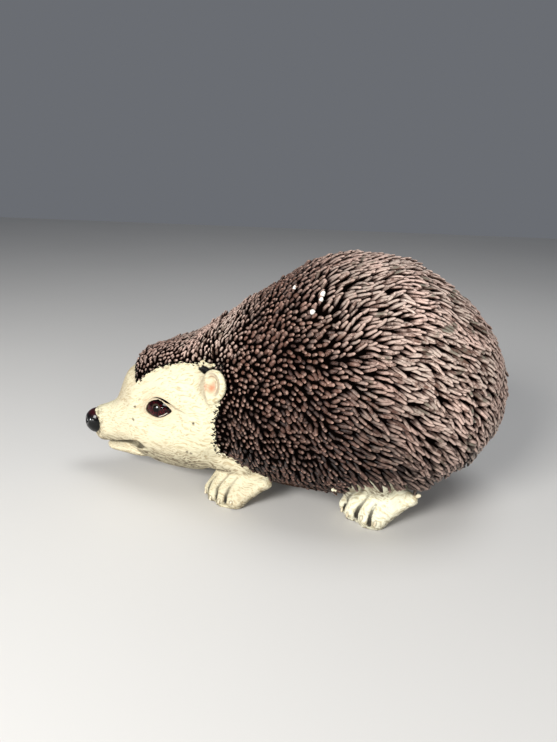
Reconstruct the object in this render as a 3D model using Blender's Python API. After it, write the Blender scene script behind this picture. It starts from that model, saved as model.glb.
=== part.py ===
"""A hedgehog garden ornament in painted cast resin, at its real size.

The animal faces -Y, +Z is up and +X is its left side. The origin is on the floor, under the middle of
the whole length. Each named zone of the casting is its own closed solid, parted from its neighbours by
a thin cut. The quilled zones (trunk and crown) reach out to the tips of the cast quills.
"""

import math

import bmesh
import bpy
import numpy as np
from mathutils import Matrix, Vector

MM = 0.001

# Driving dimensions, in metres.
LENGTH = 0.281  # nose to rump
HEIGHT = 0.160  # floor to the highest quills
TRUNK_HALF_WIDTH = 0.070  # middle to the quill tips of the flank
HEAD_HALF_WIDTH = 0.0415  # middle to the cheek, at the neck
CUT = 0.0003  # clear gap between neighbouring solids
NECK_Y, NECK_Z, NECK_LEAN = -0.0345, 0.060, 0.17  # the plane where the quills start behind the cheek
EYE_LENGTH, EYE_HEIGHT, EYE_DEPTH = 0.0200, 0.0128, 0.0090
EAR_WIDTH, EAR_HEIGHT, EAR_THICKNESS = 0.0170, 0.0190, 0.0056
NOSE_WIDTH, NOSE_LENGTH, NOSE_HEIGHT = 0.0136, 0.0130, 0.0166
TOE_RADIUS = 0.0050
TOES = 4
FRONT_TOES = ((0.0270, -0.0490), (0.0425, -0.0300))  # where the end toes of a left paw meet the floor
HIND_TOES = ((0.0360, 0.0410), (0.0525, 0.0620))
HIND_PAW = 1.12  # size against a front paw

FRONT = -LENGTH / 2
REAR = LENGTH / 2
RING_POINTS = 34


def smooth_stations(stations, count, ease):
    """count stations along a smooth run through the given ones, each a row of numbers.

    An eased end has its stations drawn together there, so that a rounded end stays round.
    """
    given = np.array([np.hstack(station) for station in stations], float)
    steps = np.linalg.norm(np.diff(given, axis=0), axis=1)
    knots = np.concatenate([[0], np.cumsum(np.sqrt(steps))])
    slopes = np.gradient(given, knots, axis=0)
    share = np.linspace(0, 1, count)
    if ease == "both":
        share = (1 - np.cos(math.pi * share)) / 2
    elif ease == "front":
        share = 1 - np.cos(math.pi / 2 * share)
    elif ease == "rear":
        share = np.sin(math.pi / 2 * share)
    at = share * knots[-1]
    left = np.clip(np.searchsorted(knots, at, side="right") - 1, 0, len(given) - 2)
    span = (knots[left + 1] - knots[left])[:, None]
    t = (at - knots[left])[:, None] / span
    return (
        (2 * t**3 - 3 * t**2 + 1) * given[left]
        + (t**3 - 2 * t**2 + t) * span * slopes[left]
        + (3 * t**2 - 2 * t**3) * given[left + 1]
        + (t**3 - t**2) * span * slopes[left + 1]
    )


def material(name, colour, roughness):
    """A painted finish."""
    made = bpy.data.materials.new(name)
    made.use_nodes = True
    shader = made.node_tree.nodes["Principled BSDF"]
    shader.inputs["Base Color"].default_value = (*colour, 1)
    shader.inputs["Roughness"].default_value = roughness
    shader.inputs["Metallic"].default_value = 0
    return made


def object_from(name, mesh):
    mesh.name = name
    obj = bpy.data.objects.new(name, mesh)
    bpy.context.scene.collection.objects.link(obj)
    return obj


def neck(z, ahead=0.0):
    """The point of the neck plane at this height, in the plane x = 0."""
    return NECK_Y + NECK_LEAN * (z - NECK_Z) - ahead, z


def eased(low, high, value):
    t = min(max((value - low) / (high - low), 0), 1)
    return t * t * (3 - 2 * t)


def rail_loft(name, stations, rings, ease=None, power=2.0, power_below=2.0, power_behind=None):
    """A closed body of upright rings, each hung between a top and a bottom point in the plane x = 0.

    A station is the top (y, z), the bottom (y, z), the half-width, and how far up the ring that is.
    Where the top and bottom points meet, that end closes to a point; elsewhere it is a flat cap. power
    (and power_below, under the widest level) is 2 for an ellipse and more for a squarer ring; with
    power_behind, that is what power_below becomes towards the rear.
    """
    built = bmesh.new()
    loops = []
    for station in smooth_stations(stations, rings, ease):
        high, low = station[:2], station[2:4]
        width, level = station[4:]
        if np.linalg.norm(high - low) < 0.2 * MM:
            loops.append([built.verts.new((0, *((high + low) / 2)))])
            continue
        middle = low + level * (high - low)
        below = power_below
        if power_behind:
            below += (power_behind - power_below) * eased(0.062, 0.110, middle[0])
        loop = []
        for i in range(RING_POINTS):
            turn = 2 * math.pi * i / RING_POINTS
            square = power if math.sin(turn) >= 0 else below
            across = math.copysign(abs(math.cos(turn)) ** (2 / square), math.cos(turn))
            up = math.copysign(abs(math.sin(turn)) ** (2 / square), math.sin(turn))
            at = middle + abs(up) * ((high if up >= 0 else low) - middle)
            loop.append(built.verts.new((across * width, *at)))
        loops.append(loop)
    for front, back in zip(loops, loops[1:]):
        for i in range(RING_POINTS):
            j = (i + 1) % RING_POINTS
            corners = [front[i % len(front)], front[j % len(front)], back[j % len(back)], back[i % len(back)]]
            built.faces.new(dict.fromkeys(corners))
    for cap in (loops[0], loops[-1][::-1]):
        if len(cap) > 1:
            built.faces.new(cap)
    bmesh.ops.recalc_face_normals(built, faces=built.faces)
    mesh = bpy.data.meshes.new(name)
    built.to_mesh(mesh)
    built.free()
    return object_from(name, mesh)


def ball(name, centre, radii, turn=None, segments=20, rings=12):
    """An ellipsoid with its half-axes given in its own turned frame."""
    built = bmesh.new()
    place = Matrix.Translation(centre) @ (turn or Matrix.Identity(3)).to_4x4() @ Matrix.Diagonal((*radii, 1))
    bmesh.ops.create_uvsphere(built, u_segments=segments, v_segments=rings, radius=1, matrix=place)
    mesh = bpy.data.meshes.new(name)
    built.to_mesh(mesh)
    built.free()
    return object_from(name, mesh)


def evaluated(obj):
    """Makes the object's modifiers part of its mesh."""
    graph = bpy.context.evaluated_depsgraph_get()
    mesh = bpy.data.meshes.new_from_object(obj.evaluated_get(graph))
    obj.modifiers.clear()
    obj.data = mesh
    return obj


def combine(obj, other, operation):
    change = obj.modifiers.new(operation.title(), "BOOLEAN")
    change.operation = operation
    change.object = other
    return evaluated(obj)


def grown(obj, by):
    """A copy of the object, larger by that much on every side."""
    copy = object_from(obj.name + "_grown", obj.data.copy())
    push = copy.modifiers.new("Grow", "DISPLACE")
    push.mid_level = 0
    push.strength = by
    return evaluated(copy)


def part_from(obj, *neighbours):
    """Cuts the neighbours out of the object, with the thin gap left between them."""
    for neighbour in neighbours:
        cutter = grown(neighbour, CUT)
        combine(obj, cutter, "DIFFERENCE")
        bpy.data.objects.remove(cutter)
    return obj


def fused(name, pieces, cell, triangles):
    """One smooth closed body from overlapping ones."""
    built = bmesh.new()
    for piece in pieces:
        built.from_mesh(piece.data)
        bpy.data.objects.remove(piece)
    mesh = bpy.data.meshes.new(name)
    built.to_mesh(mesh)
    built.free()
    obj = object_from(name, mesh)
    skin = obj.modifiers.new("Fuse", "REMESH")
    skin.mode = "VOXEL"
    skin.voxel_size = cell
    soften = obj.modifiers.new("Soften", "SMOOTH")
    soften.iterations = 3
    soften.factor = 0.5
    evaluated(obj)
    obj.data.calc_loop_triangles()
    thin = obj.modifiers.new("Thin", "DECIMATE")
    thin.ratio = min(1, triangles / len(obj.data.loop_triangles))
    return evaluated(obj)


def mirrored(obj, name):
    """The same piece on the animal's other side."""
    mesh = obj.data.copy()
    mesh.transform(Matrix.Diagonal((-1, 1, 1, 1)))
    mesh.flip_normals()
    return object_from(name, mesh)


def make_trunk():
    side = TRUNK_HALF_WIDTH
    stations = [
        (neck(0.1285), neck(0.0270), HEAD_HALF_WIDTH + 0.004, 0.42),
        ((-0.0050, 0.1420), (-0.0150, 0.0190), 0.84 * side, 0.37),
        ((0.0140, 0.1530), (0.0120, 0.0160), 0.93 * side, 0.34),
        ((0.0400, HEIGHT), (0.0400, 0.0150), side, 0.33),
        ((0.0700, 0.1575), (0.0660, 0.0150), side, 0.34),
        ((0.0970, 0.1440), (0.0890, 0.0170), 0.93 * side, 0.38),
        ((0.1225, 0.1205), (0.1110, 0.0265), 0.73 * side, 0.44),
        ((0.1370, 0.0930), (0.1310, 0.0490), 0.35 * side, 0.48),
        ((REAR, 0.0730), (REAR, 0.0730), 0, 0.5),
    ]
    return rail_loft("trunk", stations, 25, "rear", 2.1, 3.0, 1.95)


def make_head():
    stations = [
        ((-0.1355, 0.0355), (-0.1355, 0.0355), 0, 0.45),
        ((-0.1325, 0.0450), (-0.1340, 0.0270), 0.0062, 0.45),
        ((-0.1240, 0.0490), (-0.1285, 0.0205), 0.0096, 0.44),
        ((-0.1165, 0.0540), (-0.1150, 0.0205), 0.0140, 0.42),
        ((-0.1103, 0.0672), (-0.1040, 0.0195), 0.0185, 0.41),
        ((-0.1015, 0.0795), (-0.0950, 0.0140), 0.0240, 0.42),
        ((-0.0800, 0.0925), (-0.0780, 0.0085), 0.0315, 0.42),
        ((-0.0600, 0.1000), (-0.0560, 0.0075), 0.0375, 0.42),
        (neck(0.1180, CUT), neck(0.0130, CUT), HEAD_HALF_WIDTH, 0.40),
    ]
    return rail_loft("head", stations, 22, "front", 2.1)


def make_crown(head):
    stations = [
        ((-0.1035, 0.0720), (-0.1035, 0.0720), 0, 0.5),
        ((-0.1010, 0.0830), (-0.0990, 0.0620), 0.0105, 0.5),
        ((-0.0940, 0.0915), (-0.0900, 0.0580), 0.0165, 0.5),
        ((-0.0790, 0.0975), (-0.0750, 0.0660), 0.0215, 0.5),
        ((-0.0580, 0.1050), (-0.0550, 0.0760), 0.0280, 0.5),
        (neck(0.1285, CUT), neck(0.0820, CUT), 0.0365, 0.45),
    ]
    return part_from(rail_loft("crown", stations, 14, "front", 2.2, 2.2), head)


def make_jaw(head):
    stations = [
        ((-0.1262, 0.0185), (-0.1262, 0.0185), 0, 0.5),
        ((-0.1220, 0.0215), (-0.1225, 0.0155), 0.0065, 0.5),
        ((-0.1100, 0.0230), (-0.1120, 0.0138), 0.0105, 0.5),
        ((-0.0960, 0.0250), (-0.0980, 0.0128), 0.0125, 0.5),
        ((-0.0880, 0.0190), (-0.0880, 0.0190), 0, 0.5),
    ]
    return part_from(rail_loft("lower_jaw", stations, 10, "both", 2.2, 2.2), head)


def make_belly(trunk, head):
    stations = [
        (neck(0.0500), neck(0.0120), 0.028, 0.5),
        ((0.0100, 0.0450), (0.0100, 0.0080), 0.042, 0.5),
        ((0.0700, 0.0450), (0.0700, 0.0080), 0.042, 0.5),
        ((0.1080, 0.0450), (0.1020, 0.0180), 0.022, 0.5),
    ]
    return part_from(rail_loft("belly", stations, 12, None, 2.6, 2.6), trunk, head)


def make_eye():
    """The left eye: an almond ball whose long axis follows the slope of the head's side."""
    turn = Matrix.Rotation(math.radians(-20), 3, "Z") @ Matrix.Rotation(math.radians(-11), 3, "Y")
    turn = turn @ Matrix.Rotation(math.radians(-6), 3, "X")
    radii = (EYE_DEPTH / 2, EYE_LENGTH / 2, EYE_HEIGHT / 2)
    return ball("eye_left", Vector((0.0277, -0.0772, 0.0608)), radii, turn, 16, 12)


def make_nose():
    turn = Matrix.Rotation(math.radians(-12), 3, "X")
    centre = Vector((0, FRONT + NOSE_LENGTH / 2, 0.0358))
    return ball("nose", centre, (NOSE_WIDTH / 2, NOSE_LENGTH / 2, NOSE_HEIGHT / 2), turn, 16, 12)


def make_ear(head, crown, trunk):
    """The left ear: a thick round flap, dished on its outer face."""
    centre = Vector((0.0400, -0.0400, 0.0828))
    turn = Matrix.Rotation(math.radians(-18), 3, "Z") @ Matrix.Rotation(math.radians(-12), 3, "Y")
    flap = ball("ear_left", centre, (EAR_THICKNESS / 2, EAR_WIDTH / 2, EAR_HEIGHT / 2), turn, 18, 12)
    dish_at = centre + turn @ Vector((EAR_THICKNESS * 0.75, -0.001, 0))
    dish = ball("dish", dish_at, (EAR_THICKNESS * 0.62, EAR_WIDTH * 0.34, EAR_HEIGHT * 0.34), turn, 14, 10)
    combine(flap, dish, "DIFFERENCE")
    bpy.data.objects.remove(dish)
    return part_from(flap, head, crown, trunk)


def make_paw(name, toe_line, heel, shoulder, size):
    """A left paw: toes curled down side by side, an instep that rises to the heel, and a short leg.

    toe_line is the floor points (x, y) of the innermost and the outermost toe, heel the back of the
    sole, and shoulder where the leg enters the body.
    """
    inner, outer = (Vector((*point, 0)) for point in toe_line)
    radius = TOE_RADIUS * size
    outward = (outer - inner).cross(Vector((0, 0, 1))).normalized()
    middle = (inner + outer) / 2
    pieces = []
    for i in range(TOES):
        tip = inner.lerp(outer, i / (TOES - 1)) - outward * radius
        knuckle = tip - outward * 2.6 * radius + Vector((0, 0, 3.2 * radius))
        for share in (0, 0.25, 0.5, 0.75, 1):
            at = tip.lerp(knuckle, share)
            bulge = radius * (1 + 0.35 * share)
            at.z = tip.z + radius * 0.75 + math.sin(share * math.pi / 2) * (knuckle.z - tip.z)
            pieces.append(ball("toe", at, (bulge, bulge, bulge), None, 12, 8))
    back = Vector(heel)
    ankle = Vector(shoulder)
    instep = middle - outward * 3.9 * radius + Vector((0, 0, 2.0 * radius))
    for share in (0, 0.33, 0.66, 1):
        at = instep.lerp(back, share)
        wide = radius * (2.6 - 1.3 * share)
        pieces.append(ball("instep", at, (wide, wide, wide * 0.95), None, 14, 10))
        up = instep.lerp(ankle, share)
        pieces.append(ball("leg", up, (wide, wide * 1.1, wide), None, 14, 10))
    paw = fused(name, pieces, 0.0013, 520)
    built = bmesh.new()
    bmesh.ops.create_cube(built, size=1, matrix=Matrix.Translation((0, 0, -0.5)))
    mesh = bpy.data.meshes.new("floor")
    built.to_mesh(mesh)
    built.free()
    floor = object_from("floor", mesh)
    combine(paw, floor, "DIFFERENCE")
    bpy.data.objects.remove(floor)
    return paw


def main():
    for obj in list(bpy.data.objects):
        bpy.data.objects.remove(obj)
    quills = material("quills_brown", (0.060, 0.028, 0.020), 0.45)
    cream = material("face_cream", (0.80, 0.68, 0.47), 0.50)
    dark = material("underside_umber", (0.035, 0.022, 0.016), 0.60)
    eye_gloss = material("eye_garnet", (0.030, 0.004, 0.004), 0.08)
    nose_gloss = material("nose_black", (0.012, 0.008, 0.010), 0.20)

    trunk = make_trunk()
    head = make_head()
    nose = make_nose()
    eye = make_eye()
    other_eye = mirrored(eye, "eye_right")
    crown = make_crown(head)
    ear = make_ear(head, crown, trunk)
    other_ear = mirrored(ear, "ear_right")
    jaw = make_jaw(head)
    belly = make_belly(trunk, head)
    part_from(head, nose, eye, other_eye)

    heel, leg = (0.0385, -0.0080, 0.0185), (0.0330, -0.0170, 0.0320)
    front_paw = make_paw("paw_front_left", FRONT_TOES, heel, leg, 1)
    heel, leg = (0.0445, 0.0850, 0.0195), (0.0400, 0.0740, 0.0300)
    hind_paw = make_paw("paw_hind_left", HIND_TOES, heel, leg, HIND_PAW)
    paws = []
    for paw in (front_paw, hind_paw):
        part_from(paw, trunk, belly, head)
        paws += [paw, mirrored(paw, paw.name.replace("left", "right"))]

    for objects, finish in (
        ((trunk, crown), quills),
        ((head, jaw, ear, other_ear, *paws), cream),
        ((belly,), dark),
        ((eye, other_eye), eye_gloss),
        ((nose,), nose_gloss),
    ):
        for obj in objects:
            obj.data.materials.clear()
            obj.data.materials.append(finish)
            obj.data.shade_smooth()
            obj.data.set_sharp_from_angle(angle=math.radians(50))


main()
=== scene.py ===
"""The looks of the hedgehog garden ornament: one painted skin, glossy eyes and nose, claws and cast quills.

The shape of the skin is a distance field built from the same rails as the solids, so it fits them. Each
function below takes points as an (n, 3) array in metres, in the frame: -Y is forward, +X is the
animal's left and +Z is up. The field is the same on both sides.
"""

import math

import bmesh
import bpy
import numpy as np
from mathutils import Matrix, Vector
from mathutils.kdtree import KDTree


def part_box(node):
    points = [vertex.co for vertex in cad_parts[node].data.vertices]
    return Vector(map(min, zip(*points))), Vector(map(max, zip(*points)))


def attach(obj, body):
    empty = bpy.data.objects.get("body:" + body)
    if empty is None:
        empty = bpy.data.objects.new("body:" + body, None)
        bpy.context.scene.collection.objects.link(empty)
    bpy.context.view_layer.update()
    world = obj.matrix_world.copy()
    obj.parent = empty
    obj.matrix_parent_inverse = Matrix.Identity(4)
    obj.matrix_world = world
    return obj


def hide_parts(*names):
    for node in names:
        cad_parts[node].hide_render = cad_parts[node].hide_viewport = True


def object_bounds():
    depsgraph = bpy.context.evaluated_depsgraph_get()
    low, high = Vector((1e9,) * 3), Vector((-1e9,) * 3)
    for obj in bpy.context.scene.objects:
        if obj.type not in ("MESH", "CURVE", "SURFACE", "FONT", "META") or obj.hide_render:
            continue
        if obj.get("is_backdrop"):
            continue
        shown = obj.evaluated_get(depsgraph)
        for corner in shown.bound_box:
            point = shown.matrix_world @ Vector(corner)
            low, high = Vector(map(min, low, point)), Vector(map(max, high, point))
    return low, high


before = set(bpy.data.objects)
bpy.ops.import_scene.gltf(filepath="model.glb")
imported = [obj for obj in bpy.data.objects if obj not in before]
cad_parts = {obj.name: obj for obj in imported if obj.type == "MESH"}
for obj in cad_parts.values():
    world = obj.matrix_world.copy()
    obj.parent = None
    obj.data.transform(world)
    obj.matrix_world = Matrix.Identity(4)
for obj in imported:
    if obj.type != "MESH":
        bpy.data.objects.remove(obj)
cad_low, cad_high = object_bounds()
# the solids' half width, rear end and height, in millimetres
SIDE, REAR, HEIGHT = (1000 * v for v in cad_high)

# ---------------------------------------------------------------- small helpers


def ramp(low, high, value):
    """0 up to low and 1 from high, with a smooth rise between. It falls where low is the higher."""
    t = np.clip((value - low) / (high - low), 0, 1)
    return t * t * (3 - 2 * t)


def bell(*terms):
    """A bump of height 1. Each offset from its middle is followed by the width it fades over."""
    return np.exp(-sum((off / width) ** 2 for off, width in zip(terms[::2], terms[1::2])))


def mm(*lengths):
    """Lengths or points given in millimetres, in metres."""
    return np.array(lengths) / 1000


def blend_min(a, b, k):
    """The lower of two distances, rounded where they meet over a width k."""
    h = np.maximum(k - np.abs(a - b), 0) / k
    return np.minimum(a, b) - h * h * k / 4


def blend_max(a, b, k):
    """The higher of two distances, rounded where they meet over a width k."""
    return -blend_min(-a, -b, k)


def norm(v):
    """The length of each row."""
    return np.linalg.norm(v, axis=1)


def unit(v):
    """Each row at length 1."""
    return v / np.maximum(np.linalg.norm(v, axis=-1, keepdims=True), 1e-12)


def along_skin(way, n):
    """Ways laid down along the skin, at right angles to its outward ways n."""
    return unit(way - (way * n).sum(1)[:, None] * n)


def placed(name, data):
    """A new object in the scene."""
    made = bpy.data.objects.new(name, data)
    bpy.context.scene.collection.objects.link(made)
    return made


def mesh_by(operation, name, **settings):
    """A mesh made by one bmesh operation."""
    built = bmesh.new()
    operation(built, **settings)
    mesh = bpy.data.meshes.new(name)
    built.to_mesh(mesh)
    built.free()
    return mesh


def turned(z=0, y=0, x=0):
    """The outward, rearward and upward axes of a feature on the left side, as rows."""
    turn = Matrix.Rotation(math.radians(z), 3, "Z") @ Matrix.Rotation(math.radians(y), 3, "Y")
    return np.array(turn @ Matrix.Rotation(math.radians(x), 3, "X")).T


def seen_from(p, at, axes):
    """Points in a feature's own frame: how far outward, rearward and upward of it they are."""
    return ((p - at) @ axes.T).T


MIRROR = np.array([[-1, 1, 1]])


def side_of(p):
    """The factors that mirror the points of the right side, and leave those of the left."""
    return np.where(p[:, :1] < 0, MIRROR, 1)


def mirrored(p):
    """Points of the right side folded onto the left."""
    return p * side_of(p)


def tube_distance(p, path, radii):
    """Distance to a round tube along a path of points, with a radius at each point."""
    best = np.full(len(p), 1e3)
    for a, b, ra, rb in zip(path, path[1:], radii, radii[1:]):
        a, b = np.asarray(a, float), np.asarray(b, float)
        t = np.clip((p - a) @ (b - a) / ((b - a) @ (b - a)), 0, 1)
        gap = norm(p - a - t[:, None] * (b - a)) - (ra + (rb - ra) * t)
        best = np.minimum(best, gap)
    return best


def ball_distance(q, radii):
    """Distance to an ellipsoid, from points already in its own frame."""
    near = norm(q / radii)
    steep = np.maximum(norm(q / np.square(radii)), 1e-9)
    return near * (near - 1) / steep


# ---------------------------------------------------------------- bodies of rings


def run_of(stations, ease, count=500):
    """The stations along a smooth run through the given ones, as in the solids."""
    given = np.array([np.hstack(station) for station in stations]) / [1000, 1000, 1000, 1000, 1000, 1]
    steps = norm(np.diff(given, axis=0))
    knots = np.concatenate([[0], np.cumsum(np.sqrt(steps))])
    slopes = np.gradient(given, knots, axis=0)
    share = np.linspace(0, 1, count)
    if ease == "both":
        share = (1 - np.cos(math.pi * share)) / 2
    elif ease == "front":
        share = 1 - np.cos(math.pi / 2 * share)
    elif ease == "rear":
        share = np.sin(math.pi / 2 * share)
    at = share * knots[-1]
    left = np.clip(np.searchsorted(knots, at, side="right") - 1, 0, len(given) - 2)
    span = (knots[left + 1] - knots[left])[:, None]
    t = (at - knots[left])[:, None] / span
    return (
        (2 * t**3 - 3 * t**2 + 1) * given[left]
        + (t**3 - 2 * t**2 + t) * span * slopes[left]
        + (3 * t**2 - 2 * t**3) * given[left + 1]
        + (t**3 - t**2) * span * slopes[left + 1]
    )


class Loft:
    """A body of upright rings between a top and a bottom rail, read as a distance.

    A station gives the top and the bottom rail's point (y, z) and the ring's half width in millimetres, and
    the share of the height at which the ring is widest.
    """

    def __init__(self, stations, ease=None, power=2.0, power_below=2.0, power_behind=None):
        run = run_of(stations, ease)
        high, low, width, level = run[:, :2], run[:, 2:4], run[:, 4], run[:, 5:6]
        middle = low + level * (high - low)
        self.rails = [(rail[:, 0], rail[:, 1]) for rail in (high, low, middle)] + [(middle[:, 0], width)]
        self.ends = middle[[0, -1], 0]
        self.power, self.power_below, self.power_behind = power, power_below, power_behind or power_below

    def distance(self, p):
        y, across = p[:, 1], np.abs(p[:, 0])
        top, bottom, widest, width = (np.interp(y, *rail) for rail in self.rails)
        up = p[:, 2] - widest
        tall = np.maximum(np.where(up > 0, top - widest, widest - bottom), 1e-4)
        width = np.maximum(width, 1e-4)
        below = self.power_below + (self.power_behind - self.power_below) * ramp(0.062, 0.110, y)
        power = np.where(up > 0, self.power, below)
        reach = ((across / width) ** power + (np.abs(up) / tall) ** power) ** (1 / power)
        out = np.hypot(across, up)
        gap = np.where(out > 1e-7, out - out / np.maximum(reach, 1e-9), -np.minimum(width, tall))
        past = np.maximum(np.maximum(self.ends[0] - y, y - self.ends[1]), 0)
        return np.where(past > 0, np.hypot(np.maximum(gap, 0), past), gap)


NECK_Y, NECK_Z, NECK_LEAN = -34.5, 60, 0.17


def neck(z):
    """The point of the slanting cut between trunk and head at a height."""
    return NECK_Y + NECK_LEAN * (z - NECK_Z), z


HEAD_SIDE = 41.5
trunk_tips = Loft(
    [
        ((-33, 115), (-50, 21.5), HEAD_SIDE + 3.8, 0.42),
        (neck(128.5), neck(21), HEAD_SIDE + 5, 0.42),
        ((-5, 142), (-15, 19), 0.84 * SIDE, 0.37),
        ((14, 153), (12, 16), 0.93 * SIDE, 0.34),
        ((40, HEIGHT), (40, 15), SIDE, 0.33),
        ((70, 157.5), (66, 15), SIDE, 0.34),
        ((97, 144), (89, 17), 0.93 * SIDE, 0.38),
        ((122.5, 120.5), (111, 26.5), 0.73 * SIDE, 0.44),
        ((137, 93), (131, 49), 0.35 * SIDE, 0.48),
        ((REAR, 73), (REAR, 73), 0, 0.5),
    ],
    "rear", 2.1, 3.0, 1.95,
)
crown_tips = Loft(
    [
        ((-103.5, 72), (-103.5, 72), 0, 0.5),
        ((-101, 83), (-99, 62), 10.5, 0.5),
        ((-94, 91.5), (-90, 58), 16.5, 0.5),
        ((-79, 97.5), (-75, 66), 21.5, 0.5),
        ((-58, 105), (-55, 76), 28, 0.5),
        (neck(128.5), neck(82), 36.5, 0.45),
        ((0, 138), (-5, 80), 40, 0.45),
    ],
    "front", 2.2, 2.2,
)
head = Loft(
    [
        ((-135.5, 35.5), (-135.5, 35.5), 0, 0.45),
        ((-132.5, 45), (-134, 27), 6.2, 0.45),
        ((-124, 49), (-128.5, 20.5), 9.6, 0.44),
        ((-116.5, 54), (-115, 20.5), 14, 0.42),
        ((-110.5, 65), (-104, 19.5), 18.5, 0.42),
        ((-101.5, 78), (-95, 14), 24, 0.42),
        ((-80, 92.5), (-78, 8.5), 31.5, 0.42),
        ((-60, 100), (-56, 7.5), 37.5, 0.42),
        (neck(118), neck(13), HEAD_SIDE, 0.40),
        ((-5, 120), (-15, 20), HEAD_SIDE + 1, 0.40),
    ],
    "front", 2.1, 2.0,
)
jaw = Loft(
    [
        ((-126.2, 18.5), (-126.2, 18.5), 0, 0.5),
        ((-122, 21.5), (-122.5, 15.5), 6.5, 0.5),
        ((-110, 23), (-112, 13.8), 10.5, 0.5),
        ((-96, 25), (-98, 12.8), 12.5, 0.5),
        ((-88, 19), (-88, 19), 0, 0.5),
    ],
    "both", 2.2, 2.2,
)
belly = Loft(
    [
        ((-40, 50), (-40, 12), 28, 0.5),
        ((10, 45), (10, 8), 42, 0.5),
        ((70, 45), (70, 8), 42, 0.5),
        ((108, 45), (102, 18), 22, 0.5),
    ],
    None, 2.6, 2.6,
)

# ---------------------------------------------------------------- features of the left side

eye_low, eye_high = (np.array(v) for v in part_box("eye_left"))
EYE_AT = np.array([0.0277, *((eye_low + eye_high) / 2)[1:]])
EYE_AXES = turned(-20, -11, -6)
EAR_AT = mm(39.8, -40.4, 82.6)
EAR_AXES = turned(-30, -12)
EAR_RADII = mm(2.8, 9.0, 9.6) * [1.0, 1.04, 1.03]
LID_TILT = math.radians(15)
# the edge of the opening between the lids, on the eye's face, round from its rear corner
OPENING = mm(
    (9.8, 0.7), (7.4, 2.6), (4, 3.8), (0.4, 4.7), (-2.8, 4.4), (-5.9, 2.9), (-8.8, 0.3), (-10.2, -4),
    (-9.4, -5.4), (-5.9, -6.4), (-2.4, -6.7), (1.1, -6.2), (3.8, -4.8), (6.6, -2.6),
)
OPEN_AT = mm(-1, -1.2)
AROUND = np.linspace(-math.pi, math.pi, 361)


def opening_reach():
    """The opening's radius from its middle in each direction, a little softened, and its steepness there."""
    ring = OPENING - OPEN_AT
    bearing = np.arctan2(ring[:, 1], ring[:, 0])
    order = np.argsort(bearing)
    reach = np.interp(AROUND, bearing[order], np.hypot(*ring[order].T), period=2 * math.pi)
    soft = np.exp(-np.linspace(-2, 2, 13) ** 2)
    reach = np.convolve(np.concatenate([reach[-7:-1], reach, reach[1:7]]), soft / soft.sum(), "valid")
    return reach, np.gradient(reach, AROUND) / reach


OPEN_REACH, OPEN_STEEP = opening_reach()


def almond(b, c):
    """How far a point of the eye's face is outside the opening between the lids."""
    b, c = b - OPEN_AT[0], c - OPEN_AT[1]
    bearing = np.arctan2(c, b)
    steep = np.interp(bearing, AROUND, OPEN_STEEP)
    return (np.hypot(b, c) - np.interp(bearing, AROUND, OPEN_REACH)) / np.sqrt(1 + steep**2)


def line_gap(b, c, points):
    """Distance in a plane to a line through the given points."""
    flat = np.stack([b, c, np.zeros_like(b)], 1)
    return tube_distance(flat, [(*q, 0) for q in points], [0] * len(points))


CREASE = mm(
    (-10.8, -1.2), (-9.1, 2.4), (-6.4, 4.8), (-3.3, 5.8), (-0.2, 6.1), (2.9, 5.8), (6.5, 5.1), (9.2, 4.2),
    (11.6, 3.1), (17.1, 2.4), (21.9, 1.4),
)


def eye_relief(p):
    """How much the skin is let in (+) or raised (-) round the eye, and how dark it is painted there, along the
    crease and at the edge of the opening.
    """
    a, b, c = seen_from(p, EYE_AT, EYE_AXES)
    facing = ramp(-0.006, -0.002, a)
    out = almond(b, c)
    crease = line_gap(b, c, CREASE)
    behind = ramp(0.0095, 0.0125, b)
    fading = ramp(0.0235, 0.0150, b)
    over = ramp(-0.002, 0.002, c - 0.15 * b)
    relief = 0.0034 * ramp(0.0002, -0.0009, out)
    relief -= (0.0004 + 0.0005 * over) * bell(out - 0.0006, 0.0006)
    relief += (0.0005 - 0.0001 * behind) * bell(crease, 0.00052) * ramp(-0.0108, -0.0070, b)
    relief -= 0.0006 * bell(crease - 0.0018, 0.0013) * ramp(0.0, 0.004, c)
    relief += 0.0009 * bell(out - 0.005, 0.005) * ramp(0.002, -0.008, b)
    dark = 0.40 + 0.25 * ramp(-0.0085, -0.0020, b) - 0.05 * behind
    wash = dark * bell(crease, 0.00042) * fading * ramp(-0.0108, -0.0060, b)
    wash = np.maximum(wash, ramp(0.00025, -0.0002, out))
    return relief * facing, wash * facing


def ear_round(b, c):
    """How far round the ear's face a point lies: 0 at the hollow's middle and 1 at the rim."""
    return np.hypot((b + 0.0008) / 0.0081, c / 0.0094)


def ear_distance(p):
    """The ear: a round flap, dished in front, with folds that run round inside its rim."""
    a, b, c = seen_from(p, EAR_AT, EAR_AXES)
    flap = ball_distance(np.stack([a, b, c], 1), EAR_RADII)
    across = ear_round(b, c)
    front = ramp(-0.0012, 0.0006, a)
    folded = ramp(-0.9, 0.4, (b * 0.8 + c * 0.6) / 0.0085)
    dish = 0.0019 * ramp(0.90, 0.40, across)
    dish += 0.0006 * bell(across - 0.62, 0.060) * folded
    dish -= 0.0006 * bell(across - 0.48, 0.060) * folded
    dish += 0.0003 * bell(across - 0.80, 0.050) * folded
    dish += 0.0010 * bell(b + 0.0007, 0.0022, c + 0.0014, 0.0028)
    sunk = 0.0026 * ramp(-0.0042, -0.0088, b + 0.25 * c)
    return flap + dish * front + sunk


LIPS = mm(
    (-131, 23.6, 23.4), (-127.5, 23, 21.2), (-124.2, 23.5, 20.9), (-116.5, 25.3, 22), (-107.8, 28.5, 23),
    (-101, 31.6, 24.4), (-96, 32.8, 25.6), (-93.2, 32.2, 27), (-91.5, 30, 28.5), (-88, 29, 29),
)


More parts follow.
